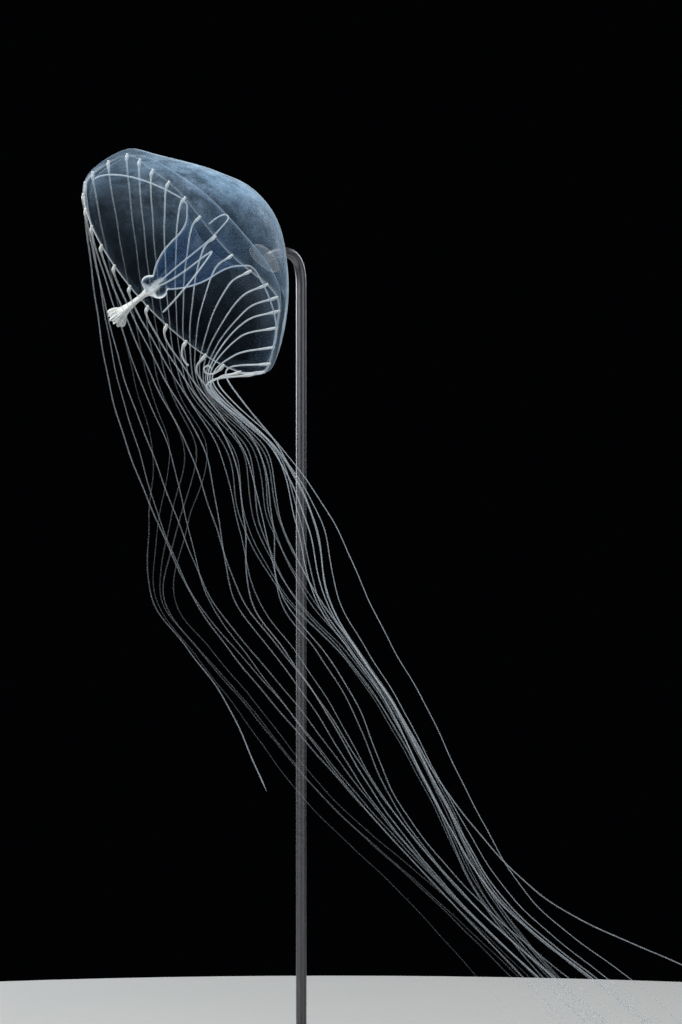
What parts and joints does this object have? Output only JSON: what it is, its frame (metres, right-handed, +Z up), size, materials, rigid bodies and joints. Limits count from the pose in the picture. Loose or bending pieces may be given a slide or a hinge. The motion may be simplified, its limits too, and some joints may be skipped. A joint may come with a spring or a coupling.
{
  "type": "jellyfish",
  "caption": "Still, life-size jellyfish: a clear domed bell with a hanging mouth and a stream of long thin tentacles, held over a flat base by one bent rod.",
  "frame": {"origin": "middle of the display base's underside", "axes": "+Z up, +X to the right along the base's length and the way the tentacles stream, +Y away from the front"},
  "size_m": [0.24, 0.12, 0.3034],
  "materials": {
    "clear_jelly": "wet, clear, bluish grey",
    "tentacle_flesh": "wet, milky, pale blue-grey",
    "white_flesh": "wet, opaque, whitish",
    "base_wood": "satin, stained dark",
    "rod_steel": "satin, darkened",
    "pad_plastic": "clear, smooth"
  },
  "bodies": {
    "root": {"bell": "clear_jelly", "lips": "white_flesh", "manubrium": "white_flesh", "margin_1": "tentacle_flesh", "margin_2": "tentacle_flesh", "margin_3": "tentacle_flesh", "margin_4": "tentacle_flesh", "margin_5": "tentacle_flesh", "margin_6": "tentacle_flesh", "margin_7": "tentacle_flesh", "margin_8": "tentacle_flesh", "peduncle": "clear_jelly", "radial_canal_1": "white_flesh", "radial_canal_2": "white_flesh", "radial_canal_3": "white_flesh", "radial_canal_4": "white_flesh", "stand_base": "base_wood", "stand_foot": "rod_steel", "stand_pad": "pad_plastic", "stand_rod": "rod_steel", "stomach": "white_flesh", "tentacle_01": "tentacle_flesh", "tentacle_02": "tentacle_flesh", "tentacle_03": "tentacle_flesh", "tentacle_04": "tentacle_flesh", "tentacle_05": "tentacle_flesh", "tentacle_06": "tentacle_flesh", "tentacle_07": "tentacle_flesh", "tentacle_08": "tentacle_flesh", "tentacle_09": "tentacle_flesh", "tentacle_10": "tentacle_flesh", "tentacle_11": "tentacle_flesh", "tentacle_12": "tentacle_flesh", "tentacle_13": "tentacle_flesh", "tentacle_14": "tentacle_flesh", "tentacle_15": "tentacle_flesh", "tentacle_16": "tentacle_flesh", "tentacle_17": "tentacle_flesh", "tentacle_18": "tentacle_flesh", "tentacle_19": "tentacle_flesh", "tentacle_20": "tentacle_flesh", "tentacle_21": "tentacle_flesh", "tentacle_22": "tentacle_flesh", "tentacle_23": "tentacle_flesh", "tentacle_24": "tentacle_flesh", "tentacle_25": "tentacle_flesh", "tentacle_26": "tentacle_flesh", "tentacle_28": "tentacle_flesh", "tentacle_30": "tentacle_flesh", "tentacle_31": "tentacle_flesh", "tentacle_32": "tentacle_flesh", "velum": "clear_jelly"}
  },
  "joints": []
}
